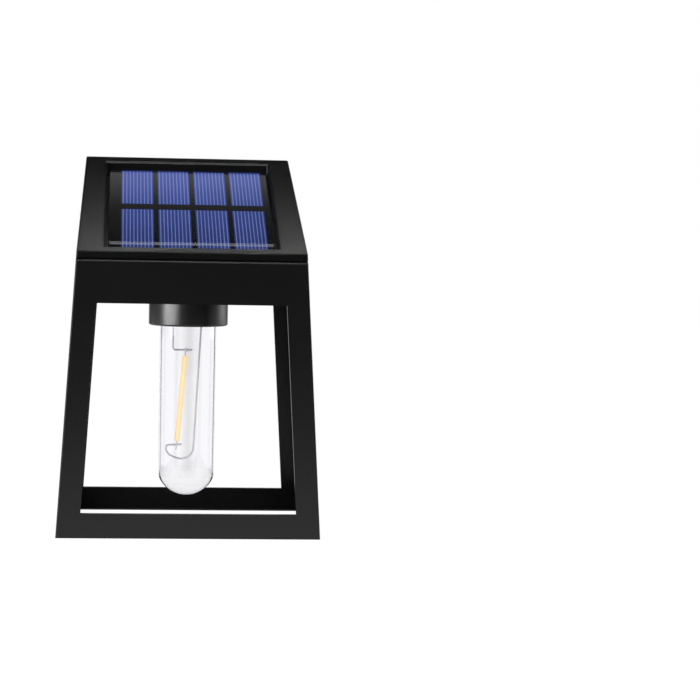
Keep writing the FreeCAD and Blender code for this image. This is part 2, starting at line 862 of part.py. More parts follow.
def holder_half():
    """Half of the holder's inside length and inside width."""
    length = battery_length + nub_length + spring_height + contact_thickness
    return length / 2, battery_radius + holder_slip


def battery_holder():
    z0, _ = holder_levels()
    in_x, in_y = holder_half()
    y = battery_y()
    tub = box(-in_x - holder_wall, in_x + holder_wall, y - in_y - holder_wall, y + in_y + holder_wall,
              z0, z0 + holder_height)
    room = box(-in_x, in_x, y - in_y, y + in_y, z0 + holder_floor, z0 + far)
    finger_z = z0 + holder_height + finger_radius - finger_depth
    finger = Part.makeCylinder(finger_radius, 2 * far, vec(0, -far, finger_z), vec(0, 1, 0))
    return cut(tub, [room, finger])


def holder_pad():
    z0, _ = holder_levels()
    in_x, in_y = holder_half()
    y = battery_y()
    return box(-in_x + holder_wall, in_x - holder_wall, y - in_y, y + in_y, tray_top, z0)


def battery():
    _, z = holder_levels()
    in_x, _ = holder_half()
    start = vec(-in_x + spring_height, battery_y(), z)
    can = Part.makeCylinder(battery_radius, battery_length, start, vec(1, 0, 0))
    rims = [e for e in can.Edges if e.Curve.TypeId == "Part::GeomCircle"]
    can = can.makeChamfer(can_bevel, rims)
    nub = Part.makeCylinder(nub_radius, battery_length + nub_length, start, vec(1, 0, 0))
    return fuse([can, nub])


def battery_spring():
    """Leaf bent from a strip: flat on the holder's end wall, bowed out to the battery's flat end."""
    _, z = holder_levels()
    x = -holder_half()[0]
    t = contact_thickness
    reach = spring_height
    half = contact_size / 2
    front = [(x, z - half), (x, z + half), (x + t, z + half), (x + t, z - half + 2 * t),
             (x + reach - t, z - t), (x + reach - t, z + half), (x + reach, z + half), (x + reach, z - 2 * t),
             (x + 2 * t, z - half)]
    return prism_y(front, battery_y() - half, battery_y() + half)


def battery_contact():
    _, z = holder_levels()
    in_x, _ = holder_half()
    half = contact_size / 2
    return box(in_x - contact_thickness, in_x, battery_y() - half, battery_y() + half, z - half, z + half)


def battery_wires():
    """From the holder's ends, back along the housing and onto the board's side pads."""
    x_run = holder_half()[0] + holder_wall + insulated_wire + lead_hole_slip
    z_run = board_top + insulated_wire + lead_hole_slip
    y_pad = board_y - pad_row
    x_pad = board_width / 2 - pad_reach
    return Part.makeCompound([bent_wire([(side * x_run, battery_y(), z_run), (side * x_run, y_pad, z_run),
                                         (side * x_pad, y_pad, z_run)], insulated_wire, wire_bend)
                              for side in (-1, 1)])


def panel_wires():
    """From the panel's back, through the tub's hole and down to the board."""
    top = roof(board_y) - plumb(layer_sinks()[3]) - insulated_wire
    wires = []
    for x in (-2 * insulated_wire, 2 * insulated_wire):
        route = [(x, board_y, top), (x, board_y, top - panel_wire_drop),
                 (x, board_y - pad_row, board_top + slip)]
        wires.append(bent_wire(route, insulated_wire, 2 * wire_bend))
    return Part.makeCompound(wires)


pieces = {
    "body_frame": body_frame,
    "lid": lid,
    "lid_gasket": lid_gasket,
    "solar_cells": solar_cells,
    "panel_cover": panel_cover,
    "panel_board": panel_board,
    "panel_tape": panel_tape,
    "panel_wires": panel_wires,
    "tray": tray,
    "tray_gasket": tray_gasket,
    "case_screws": case_screws,
    "collar": collar,
    "collar_seal": collar_seal,
    "collar_screws": collar_screws,
    "lamp_tube": lamp_tube,
    "lamp_stem": lamp_stem,
    "left_lead": left_lead,
    "right_lead": right_lead,
    "filament": filament,
    "filament_tabs": filament_tabs,
    "lamp_wires": lamp_wires,
    "circuit_board": circuit_board,
    "board_screws": board_screws,
    "driver_chip": driver_chip,
    "inductor": inductor,
    "capacitor": capacitor,
    "switch_housing": switch_housing,
    "switch_knob": switch_knob,
    "battery_holder": battery_holder,
    "holder_pad": holder_pad,
    "battery": battery,
    "battery_spring": battery_spring,
    "battery_contact": battery_contact,
    "battery_wires": battery_wires,
}

os.makedirs("parts", exist_ok=True)
for name, make in pieces.items():
    shape = make()
    print(f"{name:16s} solids {len(shape.Solids)}  volume {shape.Volume:9.1f}  valid {shape.isValid()}")
    shape.exportStep(f"parts/{name}.step")
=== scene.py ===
import math

import bmesh
import bpy
from mathutils import Euler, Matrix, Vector


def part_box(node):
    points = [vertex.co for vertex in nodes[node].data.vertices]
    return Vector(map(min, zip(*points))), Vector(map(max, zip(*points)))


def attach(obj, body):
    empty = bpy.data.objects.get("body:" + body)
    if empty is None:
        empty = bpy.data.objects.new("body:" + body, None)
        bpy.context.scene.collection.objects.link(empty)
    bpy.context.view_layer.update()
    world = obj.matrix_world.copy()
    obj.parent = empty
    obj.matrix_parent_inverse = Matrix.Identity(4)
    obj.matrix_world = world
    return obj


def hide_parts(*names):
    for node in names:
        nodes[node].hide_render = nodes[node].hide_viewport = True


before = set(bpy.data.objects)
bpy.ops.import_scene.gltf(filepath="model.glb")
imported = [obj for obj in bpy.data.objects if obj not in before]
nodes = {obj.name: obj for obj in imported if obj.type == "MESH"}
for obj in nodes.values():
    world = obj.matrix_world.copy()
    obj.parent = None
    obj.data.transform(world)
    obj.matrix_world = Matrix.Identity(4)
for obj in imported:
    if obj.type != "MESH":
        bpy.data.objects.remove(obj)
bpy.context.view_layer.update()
mm = 0.001
touching = 0.01 * mm  # points nearer than this count as one
sharpAngle = math.radians(40)  # corners flatter than this are shaded smooth
print("frame loaded:", len(nodes), "nodes")


# small helpers for shapes

def link(obj):
    bpy.context.scene.collection.objects.link(obj)
    return obj


def meshObject(name, bm):
    bmesh.ops.recalc_face_normals(bm, faces=bm.faces)
    mesh = bpy.data.meshes.new(name)
    bm.to_mesh(mesh)
    bm.free()
    return link(bpy.data.objects.new(name, mesh))


def stripObject(name, edges):
    # ribbon of faces through the edges, each a pair of points
    bm = bmesh.new()
    rows = [[bm.verts.new(point) for point in edge] for edge in edges]
    for (a, b), (c, d) in zip(rows, rows[1:]):
        bm.faces.new((a, b, d, c))
    return meshObject(name, bm)


def shadeSmooth(obj):
    obj.data.shade_smooth()
    obj.data.set_sharp_from_angle(angle=sharpAngle)


def evenFlats(obj, weight):
    # flat faces reflect evenly right up to their rounded edges
    evened = obj.modifiers.new("evenFlats", "WEIGHTED_NORMAL")
    evened.weight = weight
    evened.keep_sharp = True


def arcPoints(centre, radius, start, end, count):
    turns = [math.radians(start + (end - start) * i / count) for i in range(count + 1)]
    return [(centre[0] + radius * math.cos(t), centre[1] + radius * math.sin(t)) for t in turns]


# small helpers for materials

def addNode(tree, kind, **settings):
    node = tree.nodes.new(kind)
    for key, value in settings.items():
        setattr(node, key, value)
    return node


def setValues(node, **values):
    for key, value in values.items():
        node.inputs[key.replace("_", " ")].default_value = value


def addMath(tree, operation, *values, clamp=False):
    # each value is a plain number or the output of another node
    node = addNode(tree, "ShaderNodeMath", operation=operation, use_clamp=clamp)
    for socket, value in zip(node.inputs, values):
        if isinstance(value, bpy.types.NodeSocket):
            tree.links.new(value, socket)
        else:
            socket.default_value = value
    return node.outputs[0]


def objectPlace(tree):
    # x, y and z of the point on the object
    place = addNode(tree, "ShaderNodeTexCoord")
    split = addNode(tree, "ShaderNodeSeparateXYZ")
    tree.links.new(place.outputs["Object"], split.inputs[0])
    return split.outputs


def mixColors(tree, factor, first, second):
    # the colour goes from the first to the second as the factor goes from 0 to 1
    mix = addNode(tree, "ShaderNodeMix", data_type="RGBA")
    mix.inputs["A"].default_value = (*first, 1)
    mix.inputs["B"].default_value = (*second, 1)
    tree.links.new(factor, mix.inputs["Factor"])
    return mix.outputs["Result"]


def mixShaders(tree, factor, first, second):
    # the surface is the first shader where the factor is 0 and the second where it is 1
    mix = addNode(tree, "ShaderNodeMixShader")
    tree.links.new(factor, mix.inputs[0])
    tree.links.new(first.outputs[0], mix.inputs[1])
    tree.links.new(second.outputs[0], mix.inputs[2])
    tree.links.new(mix.outputs[0], tree.nodes["Material Output"].inputs["Surface"])


def newMaterial(name):
    material = bpy.data.materials.new(name)
    material.use_nodes = True
    tree = material.node_tree
    return material, tree, tree.nodes["Principled BSDF"]


def startGroup(name, inputs, outputs):
    group = bpy.data.node_groups.new(name, "ShaderNodeTree")
    for label, kind, value in inputs:
        group.interface.new_socket(name=label, in_out="INPUT", socket_type=kind).default_value = value
    for label, kind in outputs:
        group.interface.new_socket(name=label, in_out="OUTPUT", socket_type=kind)
    return group, group.nodes.new("NodeGroupInput"), group.nodes.new("NodeGroupOutput")


# shared surface effects

skinPattern = {"driftScale": 45.0, "driftDetail": 3.0, "driftRoughness": 0.55, "grainDetail": 2.0,
               "grainRoughness": 0.6, "grainDepth": 0.02 * mm}


def makeSkinGroup(values):
    # slow drift of tone and gloss, plus the fine grain of a moulded or printed surface
    inputs = [("Color", "NodeSocketColor", (0.5, 0.5, 0.5, 1)), ("Drift", "NodeSocketFloat", 0.1),
              ("Roughness", "NodeSocketFloat", 0.4), ("Gloss Drift", "NodeSocketFloat", 0.08),
              ("Grain Scale", "NodeSocketFloat", 2500.0)]
    outputs = [("Color", "NodeSocketColor"), ("Roughness", "NodeSocketFloat"), ("Height", "NodeSocketFloat")]
    group, start, end = startGroup("mouldedSkin", inputs, outputs)
    place = addNode(group, "ShaderNodeTexCoord")
    broad = addNode(group, "ShaderNodeTexNoise")
    setValues(broad, Scale=values["driftScale"], Detail=values["driftDetail"],
              Roughness=values["driftRoughness"])
    grain = addNode(group, "ShaderNodeTexNoise")
    setValues(grain, Detail=values["grainDetail"], Roughness=values["grainRoughness"])
    group.links.new(place.outputs["Object"], broad.inputs["Vector"])
    group.links.new(place.outputs["Object"], grain.inputs["Vector"])
    group.links.new(start.outputs["Grain Scale"], grain.inputs["Scale"])
    centred = addMath(group, "SUBTRACT", broad.outputs["Fac"], 0.5)  # the noise varies about a half
    tone = addMath(group, "MULTIPLY_ADD", centred, start.outputs["Drift"], 1.0)
    tinted = addNode(group, "ShaderNodeVectorMath", operation="SCALE")
    group.links.new(start.outputs["Color"], tinted.inputs[0])
    group.links.new(tone, tinted.inputs["Scale"])
    group.links.new(tinted.outputs[0], end.inputs["Color"])
    gloss = addMath(group, "MULTIPLY_ADD", centred, start.outputs["Gloss Drift"], start.outputs["Roughness"])
    group.links.new(gloss, end.inputs["Roughness"])
    group.links.new(grain.outputs["Fac"], end.inputs["Height"])
    return group


def makeFilmGroup():
    # cover of a thin film: whole near its middle, thinning out to nothing at its end
    inputs = [("Place", "NodeSocketFloat", 0.0), ("Middle", "NodeSocketFloat", 0.0),
              ("Start", "NodeSocketFloat", 0.0), ("End", "NodeSocketFloat", mm),
              ("Cover", "NodeSocketFloat", 1.0)]
    group, start, end = startGroup("thinFilm", inputs, [("Cover", "NodeSocketFloat")])
    offset = addMath(group, "SUBTRACT", start.outputs["Place"], start.outputs["Middle"])
    fade = addNode(group, "ShaderNodeMapRange", interpolation_type="SMOOTHSTEP")
    setValues(fade, To_Max=0.0)
    group.links.new(addMath(group, "ABSOLUTE", offset), fade.inputs["Value"])
    group.links.new(start.outputs["Start"], fade.inputs["From Min"])
    group.links.new(start.outputs["End"], fade.inputs["From Max"])
    group.links.new(start.outputs["Cover"], fade.inputs["To Min"])
    group.links.new(fade.outputs[0], end.inputs["Cover"])
    return group


skinGroup = makeSkinGroup(skinPattern)
filmGroup = makeFilmGroup()


def skinMaterial(values):
    material, tree, shader = newMaterial(values["name"])
    skin = addNode(tree, "ShaderNodeGroup", node_tree=skinGroup)
    setValues(skin, Color=(*values["color"], 1), Drift=values["drift"], Roughness=values["roughness"],
              Gloss_Drift=values["glossDrift"], Grain_Scale=values["grainScale"])
    tree.links.new(skin.outputs["Color"], shader.inputs["Base Color"])
    tree.links.new(skin.outputs["Roughness"], shader.inputs["Roughness"])
    bump = addNode(tree, "ShaderNodeBump")
    setValues(bump, Strength=values["grain"], Distance=skinPattern["grainDepth"])
    tree.links.new(skin.outputs["Height"], bump.inputs["Height"])
    tree.links.new(bump.outputs["Normal"], shader.inputs["Normal"])
    for socket, value in values.get("shader", {}).items():
        shader.inputs[socket].default_value = value
    return material


def filmMaterial(values, axis, middle, start, end):
    # see-through film whose cover thins out along the axis, from the start to the end off its middle; it
    # carries the painted highlight, the painted glow and the painted shade sheets
    material, tree, shader = newMaterial(values["name"])
    place = addNode(tree, "ShaderNodeTexCoord")
    along = addNode(tree, "ShaderNodeVectorMath", operation="DOT_PRODUCT")
    along.inputs[1].default_value = axis
    tree.links.new(place.outputs["Object"], along.inputs[0])
    film = addNode(tree, "ShaderNodeGroup", node_tree=filmGroup)
    setValues(film, Middle=middle, Start=start, End=end, Cover=values["cover"])
    tree.links.new(along.outputs["Value"], film.inputs["Place"])
    tree.links.new(film.outputs["Cover"], shader.inputs["Alpha"])
    setValues(shader, Base_Color=(*values["color"], 1), Roughness=values["roughness"],
              Specular_IOR_Level=values["specular"], Emission_Color=(*values["glowColor"], 1),
              Emission_Strength=values["glow"])
    return material


# finishes

blackAbs = {
    "name": "satinBlack", "color": (0.0052, 0.0052, 0.0054), "drift": 0.25, "roughness": 0.36,
    "glossDrift": 0.05, "grainScale": 2600.0, "grain": 0.12, "shader": {"Specular IOR Level": 0.42}}
lidBlack = {
    "name": "satinLid", "color": (0.0052, 0.0052, 0.0054), "drift": 0.25, "roughness": 0.3,
    "glossDrift": 0.04, "grainScale": 2600.0, "grain": 0.1, "shader": {"Specular IOR Level": 0.3}}
glossBlack = {
    "name": "polishedBlack", "color": (0.004, 0.004, 0.0042), "drift": 0.1, "roughness": 0.3,
    "glossDrift": 0.02, "grainScale": 1200.0, "grain": 0.02, "shader": {"Specular IOR Level": 0.4}}
sealRubber = {
    "name": "softSeal", "color": (0.002, 0.002, 0.002), "drift": 0.3, "roughness": 0.75,
    "glossDrift": 0.1, "grainScale": 1800.0, "grain": 0.3, "shader": {"Specular IOR Level": 0.05}}
panelBlack = {
    "name": "panelBacking", "color": (0.0035, 0.0036, 0.0038), "drift": 0.3, "roughness": 0.3,
    "glossDrift": 0.06, "grainScale": 3000.0, "grain": 0.05, "shader": {"Specular IOR Level": 0.05}}
foamTape = {
    "name": "foamTape", "color": (0.03, 0.03, 0.032), "drift": 0.3, "roughness": 0.95,
    "glossDrift": 0.05, "grainScale": 1500.0, "grain": 1.0}
wireCover = {
    "name": "wireCover", "color": (0.24, 0.012, 0.01), "drift": 0.15, "roughness": 0.45,
    "glossDrift": 0.1, "grainScale": 900.0, "grain": 0.1}
screwSteel = {
    "name": "zincScrew", "color": (0.55, 0.55, 0.56), "drift": 0.2, "roughness": 0.32,
    "glossDrift": 0.15, "grainScale": 3500.0, "grain": 0.2, "shader": {"Metallic": 1.0}}
stemPlastic = {
    "name": "stemPlastic", "color": (0.62, 0.61, 0.58), "drift": 0.08, "roughness": 0.4,
    "glossDrift": 0.08, "grainScale": 1800.0, "grain": 0.1}
leadMetal = {
    "name": "leadWire", "color": (0.68, 0.68, 0.7), "drift": 0.25, "roughness": 0.34,
    "glossDrift": 0.12, "grainScale": 5000.0, "grain": 0.15, "shader": {"Metallic": 0.5}}
boardGreen = {
    "name": "boardGreen", "color": (0.015, 0.12, 0.04), "drift": 0.2, "roughness": 0.35,
    "glossDrift": 0.1, "grainScale": 2200.0, "grain": 0.15}
chipBlack = {
    "name": "chipCase", "color": (0.015, 0.015, 0.016), "drift": 0.2, "roughness": 0.6,
    "glossDrift": 0.1, "grainScale": 4000.0, "grain": 0.3}
coilDark = {
    "name": "coilFerrite", "color": (0.06, 0.045, 0.04), "drift": 0.3, "roughness": 0.55,
    "glossDrift": 0.1, "grainScale": 3000.0, "grain": 0.3}
capacitorBlue = {
    "name": "capacitorSleeve", "color": (0.02, 0.05, 0.22), "drift": 0.1, "roughness": 0.3,
    "glossDrift": 0.06, "grainScale": 1500.0, "grain": 0.05}
switchMetal = {
    "name": "switchCan", "color": (0.6, 0.6, 0.6), "drift": 0.15, "roughness": 0.3,
    "glossDrift": 0.12, "grainScale": 2800.0, "grain": 0.15, "shader": {"Metallic": 1.0}}
knobBlack = {
    "name": "knobBlack", "color": (0.012, 0.012, 0.013), "drift": 0.15, "roughness": 0.42,
    "glossDrift": 0.06, "grainScale": 3200.0, "grain": 0.2}
cellSleeve = {
    "name": "batterySleeve", "color": (0.05, 0.16, 0.09), "drift": 0.06, "roughness": 0.28,
    "glossDrift": 0.05, "grainScale": 1200.0, "grain": 0.03}
contactNickel = {
    "name": "contactNickel", "color": (0.66, 0.64, 0.6), "drift": 0.2, "roughness": 0.28,
    "glossDrift": 0.12, "grainScale": 2600.0, "grain": 0.12, "shader": {"Metallic": 1.0}}

clearTube = {
    "name": "clearGlass", "color": (1.0, 1.0, 1.0), "roughness": 0.0, "ior": 1.46, "tint": (0.93, 0.93, 0.96),
    "density": 700.0}
clearCover = {"name": "coverClear", "color": (0.97, 0.98, 1.0), "roughness": 0.07, "ior": 1.45}


def glassMaterial(values):
    # clear, with light from the lamps let straight through so that what is inside stays lit
    material, tree, shader = newMaterial(values["name"])
    setValues(shader, Base_Color=(*values["color"], 1), Roughness=values["roughness"], IOR=values["ior"],
              Transmission_Weight=1.0)
    through = addNode(tree, "ShaderNodeBsdfTransparent")
    path = addNode(tree, "ShaderNodeLightPath")
    mixShaders(tree, path.outputs["Is Shadow Ray"], shader, through)
    if "tint" in values:
        tint = addNode(tree, "ShaderNodeVolumeAbsorption")
        setValues(tint, Color=(*values["tint"], 1), Density=values["density"])
        tree.links.new(tint.outputs[0], tree.nodes["Material Output"].inputs["Volume"])
    return material


filamentGlow = {
    "core": (1.0, 0.85, 0.5), "flank": (1.0, 0.56, 0.17), "narrow": 1.5, "strength": 1.0,
    "coat": (0.05, 0.03, 0.01), "roughness": 0.55, "diceScale": 180.0, "diceWaver": 0.4, "diceShade": 0.86}


def glowMaterial(values):
    # phosphor coat: pale where it faces front and back, warmer on its flanks, with the dice under it
    material, tree, shader = newMaterial("phosphorGlow")
    place = addNode(tree, "ShaderNodeTexCoord")
    facing = addNode(tree, "ShaderNodeSeparateXYZ")
    tree.links.new(place.outputs["Normal"], facing.inputs[0])
    front = addMath(tree, "ABSOLUTE", facing.outputs["Y"])
    dice = addNode(tree, "ShaderNodeTexWave", bands_direction="Z", wave_profile="SIN")
    setValues(dice, Scale=values["diceScale"], Distortion=values["diceWaver"])
    tree.links.new(place.outputs["Object"], dice.inputs["Vector"])
    soften = addNode(tree, "ShaderNodeMapRange")
    setValues(soften, To_Min=values["diceShade"], To_Max=1.0)
    tree.links.new(dice.outputs["Fac"], soften.inputs["Value"])
    lit = addMath(tree, "MULTIPLY", addMath(tree, "POWER", front, values["narrow"]), soften.outputs[0])
    tree.links.new(mixColors(tree, lit, values["flank"], values["core"]), shader.inputs["Emission Color"])
    setValues(shader, Base_Color=(*values["coat"], 1), Roughness=values["roughness"],
              Emission_Strength=values["strength"])
    return material


# rear and front colours: painted shading, lighter at the high end of the slope and darker at the low end
solarCell = {
    "name": "cellBlue", "rear": (0.042, 0.078, 0.34), "front": (0.022, 0.042, 0.18), "roughness": 0.3}
silverPaste = {
    "name": "silverPaste", "rear": (0.18, 0.235, 0.53), "front": (0.15, 0.19, 0.41), "roughness": 0.45}
cellSkin = {"drift": 0.35, "glossDrift": 0.1, "grainScale": 900.0, "specular": 0.05}


def cellMaterial(values):
    # cell coat and silver print with faint crystal patches; the colour is painted lighter at the slope's high
    # rear and darker towards its low front, a painted shading
    material, tree, shader = newMaterial(values["name"])
    low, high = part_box("solar_cells")
    along = addNode(tree, "ShaderNodeMapRange", interpolation_type="SMOOTHSTEP")
    setValues(along, From_Min=low.y, From_Max=high.y)
    tree.links.new(objectPlace(tree)["Y"], along.inputs["Value"])
    skin = addNode(tree, "ShaderNodeGroup", node_tree=skinGroup)
    setValues(skin, Drift=cellSkin["drift"], Roughness=values["roughness"],
              Gloss_Drift=cellSkin["glossDrift"], Grain_Scale=cellSkin["grainScale"])
    tree.links.new(mixColors(tree, along.outputs[0], values["front"], values["rear"]), skin.inputs["Color"])
    tree.links.new(skin.outputs["Color"], shader.inputs["Base Color"])
    tree.links.new(skin.outputs["Roughness"], shader.inputs["Roughness"])
    setValues(shader, Specular_IOR_Level=cellSkin["specular"])
    return material


def dressNodes():
    black, seal, steel = skinMaterial(blackAbs), skinMaterial(sealRubber), skinMaterial(screwSteel)
    lead, wire, nickel = skinMaterial(leadMetal), skinMaterial(wireCover), skinMaterial(contactNickel)
    foam = skinMaterial(foamTape)
    finishes = {
        "body_frame": black, "lid": skinMaterial(lidBlack), "tray": black, "battery_holder": black,
        "lid_gasket": seal, "tray_gasket": seal, "collar_seal": seal,
        "collar": skinMaterial(glossBlack), "lamp_tube": glassMaterial(clearTube),
        "lamp_stem": skinMaterial(stemPlastic), "left_lead": lead, "right_lead": lead,
        "filament_tabs": lead, "filament": glowMaterial(filamentGlow),
        "solar_cells": cellMaterial(solarCell), "panel_cover": glassMaterial(clearCover),
        "panel_board": skinMaterial(panelBlack), "panel_tape": foam, "holder_pad": foam,
        "panel_wires": wire, "lamp_wires": wire, "battery_wires": wire,
        "case_screws": steel, "collar_screws": steel, "board_screws": steel,
        "circuit_board": skinMaterial(boardGreen), "driver_chip": skinMaterial(chipBlack),
        "inductor": skinMaterial(coilDark), "capacitor": skinMaterial(capacitorBlue),
        "switch_housing": skinMaterial(switchMetal), "switch_knob": skinMaterial(knobBlack),
        "battery": skinMaterial(cellSleeve), "battery_spring": nickel, "battery_contact": nickel}
    for name, node in nodes.items():
        for slot in node.material_slots:
            slot.material = finishes[name]


dressNodes()
print("finishes on")


# the solar panel lies on the slope: across, up the slope, and out of it

def slopeAxes():
    mesh = nodes["panel_board"].data
    face = max(mesh.polygons, key=lambda p: p.area if p.normal.z > 0 else 0)
    out = face.normal.normalized()
    return Vector((1, 0, 0)), out.cross(Vector((1, 0, 0))), out


across, upSlope, outward = slopeAxes()


def onSlope(x, up, out):
    return across * x + upSlope * up + outward * out


def slopeSpan(verts):
    # how far the points reach across, up the slope and out of it
    spans = []
    for axis in (across, upSlope, outward):
        reach = [v.co.dot(axis) for v in verts]
        spans.append((min(reach), max(reach)))
    return spans


def cellSpans():
    # the reach of each cell, found by walking along the edges that join its points
    bm = bmesh.new()
    bm.from_mesh(nodes["solar_cells"].data)
    bmesh.ops.remove_doubles(bm, verts=bm.verts, dist=touching)
    left = set(bm.verts)
    spans = []
    while left:
        reached = [left.pop()]
        for vert in reached:
            for edge in vert.link_edges:
                other = edge.other_vert(vert)
                if other in left:
                    left.remove(other)
                    reached.append(other)
        spans.append(slopeSpan(reached))
    bm.free()
    return sorted(spans)


def addBar(bm, spanX, spanUp, spanOut):
    corners = [[[bm.verts.new(onSlope(x, up, out)) for x in spanX] for up in spanUp] for out in spanOut]
    (a, b), (c, d) = corners[0]
    (e, f), (g, h) = corners[1]
    for loop in ((a, c, d, b), (e, f, h, g), (a, b, f, e), (c, g, h, d), (a, e, g, c), (b, d, h, f)):
        bm.faces.new(loop)


cellAprons = {"reach": 2.6 * mm, "overlap": 0.05 * mm, "sameRow": 1.0 * mm}


def frontRow(spans):
    # the cells nearest the roof's low edge
    front = min(spanUp[0] for _, spanUp, _ in spans)
    return [span for span in spans if span[1][0] - front < cellAprons["sameRow"]]


def makeCellAprons(values):
    # the front cells run on under the cover's bevel
    bm = bmesh.new()
    for spanX, (low, high), spanOut in frontRow(cellSpans()):
        addBar(bm, spanX, (low - values["reach"], low + values["overlap"]), spanOut)
    aprons = meshObject("cellAprons", bm)
    aprons.data.materials.append(cellMaterial(solarCell))
    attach(aprons, "lantern")


cellFingers = {"count": 9, "width": 0.42 * mm, "height": 0.02 * mm, "margin": 0.25 * mm, "sink": 0.01 * mm}


def makeCellFingers(values):
    # printed silver lines up each cell, on over its apron
    bm = bmesh.new()
    half = values["width"] / 2
    spans = cellSpans()
    front = frontRow(spans)
    for span in spans:
        spanX, (low, high), spanOut = span
        if span in front:
            low -= cellAprons["reach"]
        pitch = (spanX[1] - spanX[0]) / values["count"]
        base = spanOut[1] - values["sink"]
        for i in range(values["count"]):
            middle = spanX[0] + (i + 0.5) * pitch
            addBar(bm, (middle - half, middle + half), (low + values["margin"], high - values["margin"]),
                   (base, base + values["sink"] + values["height"]))
    fingers = meshObject("cellFingers", bm)
    fingers.data.materials.append(cellMaterial(silverPaste))
    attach(fingers, "lantern")


panelCover = {"sink": 0.4 * mm, "bevelRun": 4.0 * mm, "bevelDrop": 0.7 * mm, "crest": 2.2 * mm,
              "round": 0.4 * mm, "steps": 6, "evenWeight": 50}


def coverOutline(values, spanUp, top):
    # side view of the cover's face from its low edge to its high one, as (up, out) points
    fold, crest = spanUp[0] + values["bevelRun"], values["crest"]
    slant = values["bevelDrop"] / values["bevelRun"]
    points = [(spanUp[0], top - values["bevelDrop"] - values["round"] / 2),
              (spanUp[0] + values["round"] / 2, top - values["bevelDrop"])]
    for i in range(values["steps"] + 1):
        t = i / values["steps"]
        points.append((fold + crest * (2 * t - 1), top - slant * crest * (1 - t) ** 2))
    centre = (spanUp[1] - values["round"], top - values["round"])
    return points + arcPoints(centre, values["round"], 90, 0, values["steps"])


def makePanelCover(values):
    # clear resin poured round the cells: its underside lies just inside the board, with no air between
    spanX, spanUp, spanOut = slopeSpan(nodes["panel_cover"].data.vertices)
    base = spanOut[0] - values["sink"]
    outline = coverOutline(values, spanUp, spanOut[1])
    turns = [math.pi / 2 * i / values["steps"] for i in range(values["steps"] + 1)]
    rounding = [(values["round"] * (1 - math.cos(t)), values["round"] * (1 - math.sin(t))) for t in turns]
    sections = [(spanX[0] + inset, drop) for inset, drop in rounding]
    sections += [(spanX[1] - inset, drop) for inset, drop in reversed(rounding)]
    bm = bmesh.new()
    rings = []
    for x, drop in sections:
        ring = [(spanUp[0], base)] + [(up, out - drop) for up, out in outline] + [(spanUp[1], base)]
        rings.append([bm.verts.new(onSlope(x, up, out)) for up, out in ring])
    for near, far in zip(rings, rings[1:]):
        for i in range(len(near)):
            j = (i + 1) % len(near)
            bm.faces.new((near[i], near[j], far[j], far[i]))
    bm.faces.new(rings[0])
    bm.faces.new(rings[-1][::-1])
    cover = meshObject("panelCover", bm)
    shadeSmooth(cover)
    evenFlats(cover, values["evenWeight"])
    cover.data.materials.append(glassMaterial(clearCover))
    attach(cover, "lantern")
    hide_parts("panel_cover")


# painted highlight on the clear cover: pale colour with a little glow, in place of a reflection
coverGlint = {
    "name": "frostedEdge", "color": (0.78, 0.84, 0.95), "roughness": 0.4, "specular": 0.1, "cover": 0.2,
    "glowColor": (0.78, 0.84, 0.95), "glow": 0.1, "reach": 1.5 * mm, "height": 0.02 * mm, "inset": 0.6 * mm}


def makeCoverGlint(values):
    # painted highlight: a faint pale, glowing line where the cover's face turns down into its bevel
    spanX, spanUp, spanOut = slopeSpan(nodes["panel_cover"].data.vertices)
    ends = (spanX[0] + values["inset"], spanX[1] - values["inset"])
    fold = spanUp[0] + panelCover["bevelRun"]
    edges = [[onSlope(x, up, out + values["height"]) for x in ends]
             for up, out in coverOutline(panelCover, spanUp, spanOut[1])
             if abs(up - fold) <= panelCover["crest"] + touching]
    glint = stripObject("coverGlint", edges)
    glint.data.shade_smooth()
    glint.data.materials.append(filmMaterial(values, upSlope, fold, 0.0, values["reach"]))
    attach(glint, "lantern")


makeCellAprons(cellAprons)
makeCellFingers(cellFingers)
makePanelCover(panelCover)
makeCoverGlint(coverGlint)
print("panel detailed")


# turned pieces of the lamp: tube and collar

def turnedObject(name, profile, segments):
    # closed profile of (radius, height) points; points on the axis make a single vertex
    bm = bmesh.new()
    rings = []
    for radius, height in profile:
        if radius < touching:
            rings.append([bm.verts.new((0, 0, height))])
            continue
        angles = [2 * math.pi * i / segments for i in range(segments)]
        rings.append([bm.verts.new((radius * math.cos(a), radius * math.sin(a), height)) for a in angles])
    closed = len(rings[0]) > 1
    pairs = list(zip(rings, rings[1:])) + ([(rings[-1], rings[0])] if closed else [])
    for low, high in pairs:
        for i in range(segments):
            j = (i + 1) % segments
            loop = [low[i % len(low)], low[j % len(low)], high[j % len(high)], high[i % len(high)]]
            bm.faces.new(list(dict.fromkeys(loop)))  # a point on the axis counts once
    obj = meshObject(name, bm)
    shadeSmooth(obj)
    return obj


clearTubeShape = {"wall": 0.7 * mm, "dome": 8.8 * mm, "segments": 128, "steps": 24}


def capProfile(radius, dome, bottom, steps):
    # the tube's rounded end, from the axis out to the straight wall
    capRadius = (radius ** 2 + dome ** 2) / (2 * dome)
    sweep = math.degrees(math.asin(radius / capRadius))
    return arcPoints((0, bottom + capRadius), capRadius, -90, -90 + sweep, steps)


def makeLampTube(values):
    low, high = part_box("lamp_tube")
    outer = capProfile(high.x, values["dome"], low.z, values["steps"])
    inner = capProfile(high.x - values["wall"], values["dome"] - values["wall"], low.z + values["wall"],
                       values["steps"])
    rim = [(high.x, high.z), (high.x - values["wall"], high.z)]
    tube = turnedObject("lampTube", outer + rim + inner[::-1], values["segments"])
    tube.data.materials.append(glassMaterial(clearTube))
    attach(tube, "lantern")
    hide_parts("lamp_tube")


# painted glow: a sheet inside the clear tube that glows white though it is no lamp
tubeHaze = {
    "name": "milkyBloom", "color": (0.3, 0.31, 0.315), "roughness": 0.6, "specular": 0.1, "cover": 0.8,
    "glowColor": (1.0, 0.99, 0.98), "glow": 0.74, "gap": 0.15 * mm, "top": 25.0 * mm, "fade": 9.0 * mm}


